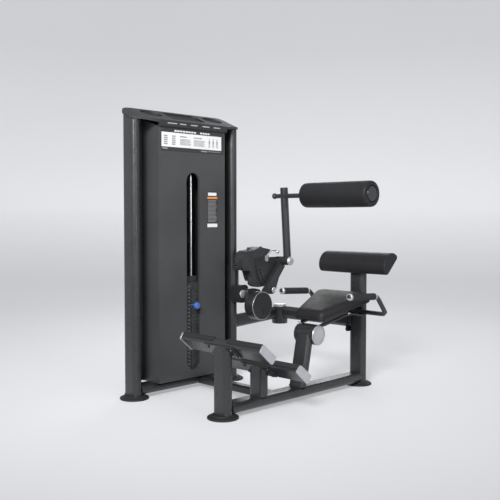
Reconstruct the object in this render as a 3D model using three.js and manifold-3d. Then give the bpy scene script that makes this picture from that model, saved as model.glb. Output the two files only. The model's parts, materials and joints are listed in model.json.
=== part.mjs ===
// Seated back extension machine: a weight-stack tower, a seat lane with footrests and lumbar pad,
// and a swinging arm with a back roller. Millimetres, +Z up.
// X runs from the tower to the seat lane, Y runs to the rear; the sitter faces -Y.
import * as THREE from "three";
import { mergeVertices } from "three/addons/utils/BufferGeometryUtils.js";
import Module from "manifold-3d";

// ---------------------------------------------------------------- driving dimensions
const GAP = 0.3; // clearance between neighbouring pieces
const CENTRE = { x: 403.5, y: 548.5 }; // middle of the footprint, measured from the front column

const TUBE = { wide: 100, deep: 50, wall: 3 }; // flat-oval frame tube
const FOOT = { height: 20, radius: 75 };
const RAIL = { low: 20.3, high: 70 };

const COLUMN = { x: -10, frontY: 0, rearY: 684, wide: 104, deep: 54 };
const TOWER_RAIL_X = -6;
const COVER = { thick: 14, edgeX: 85, edgeZ: 1437.6, slope: 0.43, endDroop: 18 };
const SHROUD = { x: 71, y0: 108.6, y1: 575, seamX: -41, sheet: 2, low: 70.3, high: 1407 };
const BACK_PANEL = { y0: 44, y1: 640, high: 1476 };
const SLOT = { y: 343.4, radius: 46.5, low: 113, high: 1175, rim: 13 };

const STACK = { x: -4, y: 343.4, depth: 112, width: 240, low: 113, pitch: 20 };
const RESTING_COUNT = 17;
const RAISED_COUNT = 5;
const HEAD = { low: 553.3, step: 585, high: 617 };
const ROD = { radius: 10, offset: 47, high: 1224.7 };
const STEM = { radius: 11, low: 119 };
const PIN = { z: 463, radius: 4, knobX: 82, knobRadius: 19 };
const PULLEY = { x: -4, y: 393.4, z: 1335, groove: 47.2, radius: 56, width: 22 };
const CABLE_RADIUS = 2.5;

const LANE_X = 607; // centre plane of the seat lane
const FRONT_POST_Y = 60;
const MIDDLE_POST_Y = 300;
const UPRIGHT_Y = 1097;
const FOOTREST = { halfLength: 275, cap: 8, corner: 9 };
const UPPER_SECTION = { a: [51, 377], b: [130, 312], c: [104, 285], d: [30, 349] };
const LOWER_SECTION = { a: [296, 253], b: [369, 195], c: [346, 162], d: [270, 227] };

const HUB = { y: 675, z: 330, radius: 53, x0: 546, x1: 667.7 };
const SEAT = { y: 658, z: 399, rise: 15.95, length: 350, thick: 47, front: 90, rear: 185 };
const LUMBAR = { halfWidth: 228, y: 1054, z: 627, lean: 44, plate: 8 };
const CORNER = { x: 14, y: 1090, radius: 48 };

const PIVOT = { y: 922, z: 685 };
const DRUM = { y: 739, z: 437.7, radius: 80, x0: 141, x1: 205 };
const ARM = { x: 224.5, radius: 22.5, top: [896, 1108] };
const ROLLER = { y: 892, z: 1059, radius: 69, bore: 13.8, x0: 394, x1: 847 };
const HANDLE = { halfSpan: 231, radius: 12.5, gripRadius: 19 };

// ---------------------------------------------------------------- geometry helpers
const wasm = await Module();
wasm.setup();

const X = new THREE.Vector3(1, 0, 0);
const Y = new THREE.Vector3(0, 1, 0);
const Z = new THREE.Vector3(0, 0, 1);
const YZX = new THREE.Matrix4().makeBasis(Y, Z, X);
const ZXY = new THREE.Matrix4().makeBasis(Z, X, Y);
const SAME = new THREE.Matrix4();
const EXTRUDE_TURN = { X: YZX, Y: ZXY, Z: SAME };
const LATHE_TURN = { X: ZXY, Y: SAME, Z: YZX };

// A closed solid from a geometry, whichever way its faces were wound.
function solid(geometry) {
  const bare = geometry.clone();
  bare.deleteAttribute("normal");
  bare.deleteAttribute("uv");
  const merged = mergeVertices(bare, 1e-4);
  const vertProperties = merged.attributes.position.array;
  const triVerts = new Uint32Array(merged.index.array);
  const made = new wasm.Manifold(new wasm.Mesh({ numProp: 3, vertProperties, triVerts }));
  if (made.volume() > 0) return made;
  for (let i = 0; i < triVerts.length; i += 3) {
    [triVerts[i + 1], triVerts[i + 2]] = [triVerts[i + 2], triVerts[i + 1]];
  }
  return new wasm.Manifold(new wasm.Mesh({ numProp: 3, vertProperties, triVerts }));
}

const asSolid = (piece) => (piece.isBufferGeometry ? solid(piece) : piece);
const join = (first, ...others) => others.reduce((sum, o) => sum.add(asSolid(o)), asSolid(first));
const cut = (first, ...others) => others.reduce((rest, o) => rest.subtract(asSolid(o)), asSolid(first));
const keep = (first, second) => asSolid(first).intersect(asSolid(second));

function geometryOf(piece) {
  const mesh = asSolid(piece).getMesh();
  const geometry = new THREE.BufferGeometry();
  geometry.setAttribute("position", new THREE.BufferAttribute(new Float32Array(mesh.vertProperties), 3));
  geometry.setIndex(new THREE.BufferAttribute(new Uint32Array(mesh.triVerts), 1));
  geometry.computeVertexNormals();
  return geometry;
}

// Extrudes a flat shape along an axis. Along X the shape lies in (y, z), along Y in (z, x), along Z in (x, y).
function prism(shape, axis, from, to, segments = 6) {
  const settings = { depth: to - from, bevelEnabled: false, curveSegments: segments };
  const geometry = new THREE.ExtrudeGeometry(shape, settings);
  geometry.translate(0, 0, from);
  return geometry.applyMatrix4(EXTRUDE_TURN[axis]);
}

function block([x0, x1], [y0, y1], [z0, z1]) {
  const geometry = new THREE.BoxGeometry(x1 - x0, y1 - y0, z1 - z0);
  return geometry.translate((x0 + x1) / 2, (y0 + y1) / 2, (z0 + z1) / 2);
}

// Turns a profile of [radius, height] points about an axis through `centre`.
function turned(profile, axis, centre, segments = 24) {
  const points = profile.map(([radius, height]) => new THREE.Vector2(radius, height));
  const geometry = new THREE.LatheGeometry(points, segments);
  return geometry.applyMatrix4(LATHE_TURN[axis]).translate(...centre);
}

function polygon(points) {
  return new THREE.Shape(points.map(([a, b]) => new THREE.Vector2(a, b)));
}

function roundedPolygon(points, radius) {
  const corners = points.map(([a, b]) => new THREE.Vector2(a, b));
  const shape = new THREE.Shape();
  corners.forEach((corner, i) => {
    const before = corners[(i + corners.length - 1) % corners.length];
    const after = corners[(i + 1) % corners.length];
    const r = Math.min(radius, corner.distanceTo(before) / 2.01, corner.distanceTo(after) / 2.01);
    const start = corner.clone().add(before.clone().sub(corner).setLength(r));
    const end = corner.clone().add(after.clone().sub(corner).setLength(r));
    if (i === 0) shape.moveTo(start.x, start.y);
    else shape.lineTo(start.x, start.y);
    shape.quadraticCurveTo(corner.x, corner.y, end.x, end.y);
  });
  shape.closePath();
  return shape;
}

function rectangle(a0, a1, b0, b1) {
  return polygon([[a0, b0], [a1, b0], [a1, b1], [a0, b1]]);
}

function disc(a, b, radius) {
  return new THREE.Shape().absarc(a, b, radius, 0, Math.PI * 2, false);
}

function withHoles(shape, ...holes) {
  shape.holes.push(...holes);
  return shape;
}

// A flat-oval outline, `wide` along the first axis and `tall` along the second.
function flatOval(a, b, wide, tall) {
  const shape = new THREE.Shape();
  if (wide > tall) {
    const r = tall / 2;
    const run = wide / 2 - r;
    shape.absarc(a + run, b, r, -Math.PI / 2, Math.PI / 2, false);
    shape.absarc(a - run, b, r, Math.PI / 2, (Math.PI * 3) / 2, false);
    return shape;
  }
  const r = wide / 2;
  const run = tall / 2 - r;
  shape.absarc(a, b + run, r, 0, Math.PI, false);
  shape.absarc(a, b - run, r, Math.PI, Math.PI * 2, false);
  return shape;
}

function ovalTube(a, b, wide, tall, wall = TUBE.wall) {
  return withHoles(flatOval(a, b, wide, tall), flatOval(a, b, wide - 2 * wall, tall - 2 * wall));
}

// A standing flat-oval post, `grow` larger all round, solid or hollow.
function post(x, y, low, high, grow = 0, hollow = false, size = TUBE) {
  const wide = size.wide + 2 * grow;
  const deep = size.deep + 2 * grow;
  const outline = hollow ? ovalTube(x, y, wide, deep) : flatOval(x, y, wide, deep);
  return prism(outline, "Z", low, high, 6);
}

function column(y, low, high, grow = 0, hollow = false) {
  return post(COLUMN.x, y, low, high, grow, hollow, COLUMN);
}

function mapPoints(geometry, change) {
  const position = geometry.attributes.position;
  for (let i = 0; i < position.count; i += 1) {
    const [x, y, z] = change(position.getX(i), position.getY(i), position.getZ(i));
    position.setXYZ(i, x, y, z);
  }
  return geometry;
}

const root = new THREE.Group();
root.position.set(-CENTRE.x, -CENTRE.y, 0);

const LOOKS = {
  frame: [0x2b2c2e, 0.5, 0.45],
  sheet: [0x3a3b3d, 0.4, 0.5],
  chrome: [0xd8dadd, 1, 0.12],
  silver: [0xb9bcc0, 0.8, 0.35],
  iron: [0x222325, 0.5, 0.55],
  rubber: [0x17181a, 0, 0.9],
  vinyl: [0x1d1e20, 0, 0.6],
  plastic: [0x1b1c1e, 0, 0.5],
  knob: [0x3c5a96, 0, 0.4],
  steel: [0x8d9095, 0.9, 0.35],
};

function addPart(name, look, piece) {
  const [color, metalness, roughness] = LOOKS[look];
  const material = new THREE.MeshStandardMaterial({ color, metalness, roughness });
  const mesh = new THREE.Mesh(geometryOf(piece), material);
  mesh.name = name;
  root.add(mesh);
}

// ---------------------------------------------------------------- tower frame
// Height of the cover's upper surface: it rises to the back of the tower and droops at both ends.
function coverHeight(x, y) {
  const past = Math.max(0, Math.abs(y - 342) - 300) / 96;
  return COVER.edgeZ + (COVER.edgeX - x) * COVER.slope - COVER.endDroop * past * past;
}

const COVER_PLAN = [
  [85, 108], [85, 580], [72, 618], [56, 668], [38, 708], [6, 722], [-50, 722], [-68, 708],
  [-75, 688], [-75, 618], [-75, 66], [-75, 8], [-68, -13], [-50, -30], [-20, -38], [8, -38],
  [38, -26], [56, 16], [72, 66],
];

// A slab of the cover's outline between two heights measured from its upper surface.
function coverSlab(top, bottom) {
  const stations = [-46, -32, -18, -4, 12, 42, 642, 672, 690, 708, 728];
  const edge = (offset) => stations.map((y) => [y, coverHeight(COVER.edgeX, y) + offset]);
  const side = prism(polygon([...edge(bottom), ...edge(top).reverse()]), "X", -80, 90);
  mapPoints(side, (x, y, z) => [x, y, z + (COVER.edgeX - x) * COVER.slope]);
  return keep(side, prism(polygon(COVER_PLAN), "Z", 1200, 1900));
}

function buildTopCover() {
  const ellipse = (y, along, across) => new THREE.Shape().absellipse(-14, y, across, along, 0, Math.PI * 2);
  const sunk = (shape) =>
    mapPoints(prism(shape, "Z", 0, 1, 10), (x, y, z) => [x, y, coverHeight(x, 342) + (z > 0.5 ? 30 : -9.5)]);
  const cups = [128, 556].map((y) => sunk(ellipse(y, 65, 45)));
  const tray = sunk(roundedPolygon([[-56, 226], [50, 226], [50, 458], [-56, 458]], 30));
  const fascia = block([71.6, 85], [108, 580], [1407, 1440]);
  return join(cut(coverSlab(0, -COVER.thick), ...cups, tray), fascia);
}

function buildTowerFrame() {
  const overhead = coverSlab(200, -COVER.thick - GAP);
  const ends = [COLUMN.frontY, COLUMN.rearY];
  ["front_column", "rear_column"].forEach((name, i) => {
    addPart(name, "frame", cut(column(ends[i], RAIL.low, 1560, 0, true), overhead));
  });
  const columnSpace = ends.map((y) => column(y, 0, 1560, GAP));

  const railHeight = RAIL.high - RAIL.low;
  const railCentre = (RAIL.high + RAIL.low) / 2;
  const rail = prism(flatOval(railCentre, TOWER_RAIL_X, railHeight, TUBE.wide), "Y", 22, 662, 5);
  addPart("tower_base_rail", "frame", cut(rail, ...columnSpace));

  const inner = [SHROUD.y0 + SHROUD.sheet + GAP, SHROUD.y1 - SHROUD.sheet - GAP];
  const bar = block([-20, 20], inner, [1225, 1265]);
  const cheeks = [[-24, -17], [9, 16]].map(([x0, x1]) =>
    prism(roundedPolygon([[360, 1250], [427, 1250], [415, 1352], [372, 1352]], 16), "X", x0, x1));
  const cableHole = prism(disc(STACK.x, STACK.y, 8), "Z", 1200, 1300);
  const axle = prism(disc(PULLEY.y, PULLEY.z, 6), "X", -22, 14);
  addPart("rod_crosshead", "frame", join(cut(bar, cableHole), ...cheeks, axle));
  addPart("top_cover", "plastic", buildTopCover());
}

function buildFeet() {
  const profile = [[0, 0], [73, 0], [75, 2], [75, 9], [70, 12], [58, 14], [55, 20], [0, 20]];
  const places = {
    front_column_foot: [0, COLUMN.frontY],
    rear_column_foot: [0, COLUMN.rearY],
    front_post_foot: [LANE_X, FRONT_POST_Y],
    rear_upright_foot: [LANE_X, UPRIGHT_Y],
  };
  for (const [name, [x, y]] of Object.entries(places)) {
    addPart(name, "rubber", turned(profile, "Z", [x, y, 0], 28));
  }
}

// ---------------------------------------------------------------- shrouds and placard
function sideFlanges(outline) {
  const sheets = [SHROUD.y0, SHROUD.y1 - SHROUD.sheet];
  return sheets.map((y) =>
    mapPoints(prism(polygon(outline), "Z", y, y + SHROUD.sheet), (x, z, yy) => [x, yy, z]));
}

function buildShrouds() {
  const { x, y0, y1, seamX, sheet, low, high } = SHROUD;
  const slotHeight = SLOT.high - SLOT.low;
  const slotCentre = (SLOT.high + SLOT.low) / 2;
  const slot = (grow) => flatOval(SLOT.y, slotCentre, 2 * (SLOT.radius + grow), slotHeight + 2 * grow);
  const front = prism(withHoles(rectangle(y0, y1, low, high), slot(0)), "X", x - sheet, x, 8);
  const rim = prism(withHoles(slot(sheet), slot(0)), "X", x - SLOT.rim - sheet, x - sheet + 0.5, 8);
  const frontSides = sideFlanges([[seamX + 1, low], [x, low], [x, high], [seamX + 1, high + 35]]);
  addPart("front_shroud", "sheet", join(front, rim, ...frontSides));

  const back = prism(rectangle(BACK_PANEL.y0, BACK_PANEL.y1, low, BACK_PANEL.high), "X", -x, -x + sheet);
  const rearSides = sideFlanges([[-x, low], [seamX - 1, low], [seamX - 1, high + 36], [-x, high + 48]]);
  addPart("rear_shroud", "sheet", join(back, ...rearSides));

  const plate = roundedPolygon([[127, 1285], [565, 1285], [565, 1399], [127, 1399]], 5);
  addPart("placard", "plastic", prism(plate, "X", x + GAP, x + 2.5, 2));
}

// ---------------------------------------------------------------- weight stack
function rodHoles(low, high, radius) {
  return [-ROD.offset, ROD.offset].map((dy) =>
    prism(disc(STACK.x, STACK.y + dy, radius), "Z", low, high, 6));
}

// A bundle of equal plates with a groove between each pair and a pin hole in the front of each.
function plateBundle(count, low) {
  const x0 = STACK.x - STACK.depth / 2;
  const x1 = STACK.x + STACK.depth / 2;
  const y0 = STACK.y - STACK.width / 2;
  const y1 = STACK.y + STACK.width / 2;
  const high = low + count * STACK.pitch;
  let bundle = solid(block([x0, x1], [y0, y1], [low, high]));
  for (let i = 0; i < count; i += 1) {
    const base = low + i * STACK.pitch;
    if (i > 0) {
      const band = block([x0 - 5, x1 + 5], [y0 - 5, y1 + 5], [base - 1, base + 1]);
      bundle = cut(bundle, cut(band, block([x0 + 3, x1 - 3], [y0 + 3, y1 - 3], [base - 2, base + 2])));
    }
    bundle = cut(bundle, prism(disc(STACK.y, base + STACK.pitch / 2, 5.4), "X", STACK.x, x1 + 5, 3));
  }
  const stemHole = prism(disc(STACK.x, STACK.y, STEM.radius + 2), "Z", low - 5, high + 5, 6);
  return cut(bundle, ...rodHoles(low - 5, high + 5, ROD.radius + 1), stemHole);
}

function buildStack() {
  const restingTop = STACK.low + RESTING_COUNT * STACK.pitch;
  addPart("resting_plates", "iron", plateBundle(RESTING_COUNT, STACK.low));
  addPart("raised_plates", "iron", plateBundle(RAISED_COUNT, restingTop + GAP));

  const bumper = roundedPolygon([[-40, 262], [32, 262], [32, 425], [-40, 425]], 14);
  const buffer = prism(bumper, "Z", RAIL.high + GAP, STACK.low - GAP, 3);
  addPart("stack_buffer", "rubber", cut(buffer, ...rodHoles(60, 120, ROD.radius + 0.4)));
  [["guide_rod_front", -ROD.offset], ["guide_rod_rear", ROD.offset]].forEach(([name, dy]) => {
    const rod = prism(disc(STACK.x, STACK.y + dy, ROD.radius), "Z", RAIL.high + GAP, ROD.high, 8);
    addPart(name, "chrome", rod);
  });

  const slab = block([-60, 52], [223.4, 463.4], [HEAD.low + GAP, HEAD.step]);
  const boss = prism(roundedPolygon([[-38, 273], [30, 273], [30, 414], [-38, 414]], 10), "Z", 580, HEAD.high, 3);
  const stem = prism(disc(STACK.x, STACK.y, STEM.radius), "Z", STEM.low, HEAD.low + 5, 7);
  const drill = [];
  for (let i = 0; i < RESTING_COUNT + RAISED_COUNT; i += 1) {
    const z = STACK.low + (i + 0.5) * STACK.pitch;
    if (z > STEM.low + 8) drill.push(prism(disc(STACK.y, z, 5.4), "X", -30, 20, 3));
  }
  const head = cut(join(slab, boss), ...rodHoles(540, 630, ROD.radius + 0.6));
  addPart("top_plate", "iron", join(head, cut(stem, ...drill)));

  const pinProfile = [[0, -9], [PIN.radius, -8], [PIN.radius, 80], [12, 81], [13, 86], [17, 90]];
  pinProfile.push([PIN.knobRadius, 95], [PIN.knobRadius, 102], [15, 109], [0, 112]);
  addPart("selector_pin", "knob", turned(pinProfile, "X", [0, STACK.y, PIN.z], 20));
}

function buildPulley() {
  const { x, y, z, groove, radius, width } = PULLEY;
  const half = width / 2;
  const wheel = [[6.4, -half], [radius, -half], [radius, -half + 3], [groove, -3], [groove, 3]];
  wheel.push([radius, half - 3], [radius, half], [6.4, half], [6.4, -half]);
  addPart("top_pulley", "plastic", turned(wheel, "X", [x, y, z], 32));
  const cable = prism(disc(STACK.x, STACK.y, CABLE_RADIUS), "Z", HEAD.high + GAP, z, 4);
  addPart("lift_cable", "steel", cable);
}

// ---------------------------------------------------------------- lane base and posts
function alongRail(y0, y1) {
  const height = RAIL.high - RAIL.low;
  return prism(flatOval((RAIL.high + RAIL.low) / 2, LANE_X, height, TUBE.wide), "Y", y0, y1, 5);
}

// Local frame of a footrest's underside in the (y, z) plane: `along` runs down to the rear.
function undersideOf(section) {
  const [dy, dz] = section.d;
  const length = Math.hypot(section.c[0] - dy, section.c[1] - dz);
  const slope = [(section.c[0] - dy) / length, (section.c[1] - dz) / length];
  const normal = [-slope[1], slope[0]];
  const at = (along, out) => [
    dy + slope[0] * along + normal[0] * out,
    dz + slope[1] * along + normal[1] * out,
  ];
  return { at, normal };
}

// A standing tube whose top is mitred to an inclined mounting plate with four bolt heads.
function postWithPlate(y, low, section, halfWidth) {
  const { at, normal } = undersideOf(section);
  const strip = (from, to, a0, a1) => polygon([at(a0, from), at(a1, from), at(a1, to), at(a0, to)]);
  const above = prism(strip(-4, 400, -300, 400), "X", 480, 734);
  const plate = prism(strip(-GAP, -8, 0, 86), "X", LANE_X - halfWidth, LANE_X + halfWidth);
  let made = join(cut(post(LANE_X, y, low, 460, 0, true), above), plate);
  for (const x of [LANE_X - 78, LANE_X + 78]) {
    for (const along of [18, 68]) {
      const bolt = prism(disc(0, 0, 9), "Z", -0.5, 7, 3);
      bolt.rotateX(Math.atan2(normal[0], -normal[1])).translate(x, ...at(along, -8));
      made = join(made, bolt);
    }
  }
  return made;
}

function buildLaneFrame() {
  const frontSpace = post(LANE_X, FRONT_POST_Y, 0, 500, GAP);
  const uprightSpace = post(LANE_X, UPRIGHT_Y, 0, 700, GAP);
  addPart("base_rail", "frame", cut(alongRail(82, 1072), frontSpace, uprightSpace));
  addPart("front_post", "frame", postWithPlate(FRONT_POST_Y, RAIL.low, UPPER_SECTION, 95));
  addPart("middle_post", "frame", postWithPlate(MIDDLE_POST_Y, RAIL.high + GAP, LOWER_SECTION, 91.5));
  const upright = post(LANE_X, UPRIGHT_Y, RAIL.low, 720, 0, true);
  addPart("rear_upright", "frame", cut(upright, beforePlane(LUMBAR.plate + 3 * GAP)));

  const link = prism(roundedPolygon([[410, 20.3], [460, 20.3], [460, 62], [410, 62]], 10), "X", 24, 580, 3);
  const height = RAIL.high - RAIL.low + 2 * GAP;
  const middle = (RAIL.high + RAIL.low) / 2;
  const railSpace = [TOWER_RAIL_X, LANE_X].map((x) =>
    prism(flatOval(middle, x, height, TUBE.wide + 2 * GAP), "Y", 390, 480, 6));
  addPart("link_rail", "frame", cut(link, ...railSpace));
}

// ---------------------------------------------------------------- footrests
// The corners of a convex outline with every side moved outward by `grow`.
function grown(points, grow) {
  const area = points.reduce((sum, [a, b], i) => {
    const [c, d] = points[(i + 1) % points.length];
    return sum + a * d - c * b;
  }, 0);
  const turn = Math.sign(area);
  const sides = points.map(([a, b], i) => {
    const [c, d] = points[(i + 1) % points.length];
    const length = Math.hypot(c - a, d - b);
    const normal = [(turn * (d - b)) / length, (turn * (a - c)) / length];
    return { normal, reach: normal[0] * a + normal[1] * b + grow };
  });
  return sides.map((side, i) => {
    const before = sides[(i + sides.length - 1) % sides.length];
    const [p, q] = before.normal;
    const [r, s] = side.normal;
    const cross = p * s - q * r;
    return [(before.reach * s - side.reach * q) / cross, (side.reach * p - before.reach * r) / cross];
  });
}

// An L-shaped rubber sheet over the standing face and the front edge of the beam.
function treadShape({ a, b, d }) {
  const unit = ([p, q], [r, s]) => {
    const length = Math.hypot(r - p, s - q);
    return [(r - p) / length, (s - q) / length];
  };
  const down = unit(a, b);
  const front = unit(a, d);
  const upNormal = [-down[1], down[0]];
  const frontNormal = [front[1], -front[0]];
  const move = ([p, q], ...steps) =>
    steps.reduce(([u, v], [dir, size]) => [u + dir[0] * size, v + dir[1] * size], [p, q]);
  return polygon([
    move(d, [frontNormal, GAP], [front, -14]),
    move(a, [frontNormal, GAP], [upNormal, GAP]),
    move(b, [upNormal, GAP], [down, -5]),
    move(b, [upNormal, 4], [down, -5]),
    move(a, [upNormal, 4], [frontNormal, 1]),
    move(a, [upNormal, 1], [frontNormal, 4]),
    move(d, [frontNormal, 4], [front, -14]),
  ]);
}

function buildFootrest(name, section) {
  const x0 = LANE_X - FOOTREST.halfLength;
  const x1 = LANE_X + FOOTREST.halfLength;
  const cap = FOOTREST.cap;
  const corners = [section.a, section.b, section.c, section.d];
  const outline = roundedPolygon(corners, FOOTREST.corner);
  const inside = roundedPolygon(grown(corners, -4), FOOTREST.corner - 4);
  const beam = prism(outline, "X", x0 + cap + GAP, x1 - cap - GAP, 3);
  addPart(`${name}_footrest`, "frame", cut(beam, prism(inside, "X", x0, x1, 3)));
  const capShape = roundedPolygon(grown(corners, 3), FOOTREST.corner + 2);
  addPart(`${name}_cap_inner`, "silver", prism(capShape, "X", x0, x0 + cap, 4));
  addPart(`${name}_cap_outer`, "silver", prism(capShape, "X", x1 - cap, x1, 4));
  const tread = treadShape(section);
  addPart(`${name}_tread_inner`, "rubber", prism(tread, "X", x0 + cap + 1, LANE_X - 46));
  addPart(`${name}_tread_outer`, "rubber", prism(tread, "X", LANE_X + 46, x1 - cap - 1));
}

// ---------------------------------------------------------------- seat
function buildSeat() {
  const low = RAIL.high + GAP;
  const lean = (x, y, z) => [x, y + ((z - low) * 55) / 260, z];
  const leg = mapPoints(post(LANE_X, 587, low, 335, 0, true), lean);
  const hubAt = disc(HUB.y, HUB.z, HUB.radius);
  const inner = mapPoints(post(LANE_X, 587, low, 300, -TUBE.wall), lean);
  addPart("seat_leg", "frame", cut(join(leg, prism(hubAt, "X", HUB.x0, HUB.x1, 12)), inner));
  const cap = [[0, 0], [50, 0], [52, 2], [52, 4], [49, 6], [43, 6], [41, 5], [0, 5]];
  addPart("hub_cap", "silver", turned(cap, "X", [HUB.x1 + GAP, HUB.y, HUB.z], 36));
  addPart("seat_bracket", "frame", buildSeatBracket());
  addPart("seat_cushion", "vinyl", buildSeatCushion());
}

function buildSeatCushion() {
  const { front, rear, length, thick } = SEAT;
  const outline = [[-front, 0], [front, 0], [rear, length - 34], [rear - 34, length]];
  outline.push([-rear + 34, length], [-rear, length - 34]);
  const pad = prism(roundedPolygon(outline, 22), "Z", 0, thick, 4);
  mapPoints(pad, (x, y, z) => {
    if (z < 1) return [x, y, z];
    const inset = 13 - (9 * y) / length;
    return [x - Math.sign(x) * Math.min(Math.abs(x), inset), 20 + y * ((length - 20) / length), z];
  });
  return pad.rotateX(THREE.MathUtils.degToRad(SEAT.rise)).translate(LANE_X, SEAT.y, SEAT.z);
}

// Two bent straps from the hub to the upright, a pan under the cushion and webs between them.
function buildSeatBracket() {
  const top = [[684, 384], [807, 407], [865, 419], [924, 423], [975, 416], [1012, 405], [1046, 401]];
  const lower = top.map(([y, z]) => [y + 1, z - 9]).reverse();
  const strap = polygon([...top, ...lower]);
  const sides = [[517, 547], [667, 697]].map(([x0, x1]) => prism(strap, "X", x0, x1));
  const tie = prism(polygon([[1012, 405], [1046, 401], [1046, 392], [1013, 396]]), "X", 520, 694);
  const tongue = prism(polygon([[1040, 401], [1072, 399], [1072, 390], [1040, 392]]), "X", 562, 652);
  const rise = Math.tan(THREE.MathUtils.degToRad(SEAT.rise));
  const under = (y) => SEAT.z + (y - SEAT.y) * rise - GAP - 0.5;
  const pan = prism(polygon([[700, under(700)], [960, under(960)], [960, under(960) - 6], [700, under(700) - 6]]),
    "X", 522, 692);
  const web = polygon([[700, under(700) - 3], [900, under(900) - 3], [900, 415], [865, 412], [700, 382]]);
  const webs = [[526, 532], [682, 688]].map(([x0, x1]) => prism(web, "X", x0, x1));
  const hubSpace = prism(disc(HUB.y, HUB.z, HUB.radius + GAP), "X", 500, HUB.x1 + GAP, 16);
  const capSpace = prism(disc(HUB.y, HUB.z, 52 + GAP), "X", HUB.x1, HUB.x1 + 8, 16);
  return cut(join(...sides, tie, tongue, pan, ...webs), hubSpace, capSpace, post(LANE_X, UPRIGHT_Y, 300, 500, GAP));
}

// ---------------------------------------------------------------- rear frame and lumbar pad
function buildRearFrame() {
  const columnSpace = column(COLUMN.rearY, 200, 500, GAP);
  const corner = [[0, 288], [CORNER.radius - 3, 288], [CORNER.radius, 291], [CORNER.radius, 388]];
  corner.push([CORNER.radius - 3, 391], [43, 391], [43, 400], [37, 406], [0, 408]);
  addPart("corner_post", "frame", turned(corner, "Z", [CORNER.x, CORNER.y, 0], 32));
  const cornerSpace = prism(disc(CORNER.x, CORNER.y, CORNER.radius + GAP), "Z", 200, 500, 20);

  const side = prism(ovalTube(338, 0, 80, 50), "Y", 696, 1080, 5);
  mapPoints(side, (x, y, z) => [x + Math.max(0, y - 734) * 0.02, y, z + ((y - 734) * 18) / 308]);
  addPart("side_member", "frame", cut(side, columnSpace, cornerSpace));

  const across = prism(ovalTube(1090, 359, 50, 78), "X", 20, 580, 5);
  const flange = prism(roundedPolygon([[1060, 296], [1124, 296], [1124, 408], [1060, 408]], 8), "X", 547, 556.7, 2);
  const bolts = [306, 403].map((z) => prism(disc(1069, z + 2, 5), "X", 541, 550, 3));
  const upright = post(LANE_X, UPRIGHT_Y, 200, 600, GAP);
  addPart("cross_member", "frame", cut(join(across, flange, ...bolts), cornerSpace, upright));
}

// A point behind the lumbar pad: `along` up its leaning back face, `out` away from that face.
function behindPad(along, out) {
  const lean = (LUMBAR.lean * Math.PI) / 180;
  return [
    LUMBAR.y + along * Math.cos(lean) + out * Math.sin(lean),
    LUMBAR.z + along * Math.sin(lean) - out * Math.cos(lean),
  ];
}

// Everything in front of and above a plane parallel to the pad's back face.
function beforePlane(out) {
  const corners = [behindPad(-80, out), behindPad(220, out), behindPad(220, out - 220), behindPad(-80, out - 220)];
  return prism(polygon(corners), "X", 520, 700);
}

function buildLumbar() {
  const pad = [[1054, 627], [1145, 715], [1142, 731], [1113, 746], [1074, 742], [1048, 727]];
  pad.push([1028, 703], [1020, 675], [1023, 648], [1036, 631]);
  const x0 = LANE_X - LUMBAR.halfWidth;
  const x1 = LANE_X + LUMBAR.halfWidth;
  addPart("lumbar_pad", "vinyl", prism(roundedPolygon(pad, 9), "X", x0, x1, 4));
  const face = LUMBAR.plate + 2 * GAP;
  const corners = [behindPad(12, 2 * GAP), behindPad(112, 2 * GAP), behindPad(112, face), behindPad(12, face)];
  const plate = prism(polygon(corners), "X", LANE_X - 48, LANE_X + 48);
  const spigot = prism(flatOval(LANE_X, UPRIGHT_Y, 93, 43), "Z", 590, 720, 4);
  addPart("lumbar_bracket", "frame", join(plate, cut(spigot, beforePlane(face / 2))));
}

// ---------------------------------------------------------------- handles
function handleEnds(side) {
  const x = LANE_X + side * HANDLE.halfSpan;
  return {
    front: new THREE.Vector3(x, 712, 536),
    ring: new THREE.Vector3(x, 932, 523),
    bend: new THREE.Vector3(x, 950, 522),
    low: new THREE.Vector3(x, 1034, 420),
  };
}

// A polyline of points with each inner corner replaced by a curve that starts `reach` before it.
function bentPath(points, reach) {
  const path = new THREE.CurvePath();
  let from = points[0];
  for (let i = 1; i < points.length - 1; i += 1) {
    const start = points[i].clone().add(points[i - 1].clone().sub(points[i]).setLength(reach[i - 1]));
    const end = points[i].clone().add(points[i + 1].clone().sub(points[i]).setLength(reach[i - 1]));
    path.add(new THREE.LineCurve3(from, start));
    path.add(new THREE.QuadraticBezierCurve3(start, points[i], end));
    from = end;
  }
  path.add(new THREE.LineCurve3(from, points[points.length - 1]));
  return path;
}

// A round sleeve about the handle's straight end, from one distance behind its front to another.
function sleeve(side, from, to, radius, bore) {
  const { front, ring } = handleEnds(side);
  const profile = bore > 0
    ? [[bore, from], [radius - 1.5, from], [radius, from + 1.5], [radius, to - 1.5], [radius - 1.5, to], [bore, to], [bore, from]]
    : [[0, from], [radius - 3, from], [radius, from + 3], [radius, to], [0, to]];
  const turn = new THREE.Quaternion().setFromUnitVectors(Y, ring.clone().sub(front).normalize());
  return turned(profile, "Y", [0, 0, 0], 18).applyQuaternion(turn).translate(...front.toArray());
}

function buildHandles() {
  const left = handleEnds(-1);
  const right = handleEnds(1);
  const points = [left.front, left.bend, left.low, right.low, right.bend, right.front];
  const path = bentPath(points, [16, 26, 26, 16]);
  const settings = { steps: 60, extrudePath: path, curveSegments: 5 };
  const tube = new THREE.ExtrudeGeometry(disc(0, 0, HANDLE.radius), settings);
  const extras = [-1, 1].flatMap((side) => [
    sleeve(side, -1, 12, 18, 0),
    sleeve(side, 213, 221, 18, 8),
  ]);
  addPart("handle_bar", "frame", join(tube, ...extras));
  addPart("grip_inner", "rubber", sleeve(-1, 12.5, 212.5, HANDLE.gripRadius - 1, HANDLE.radius + GAP));
  addPart("grip_outer", "rubber", sleeve(1, 12.5, 212.5, HANDLE.gripRadius - 1, HANDLE.radius + GAP));
}

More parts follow.
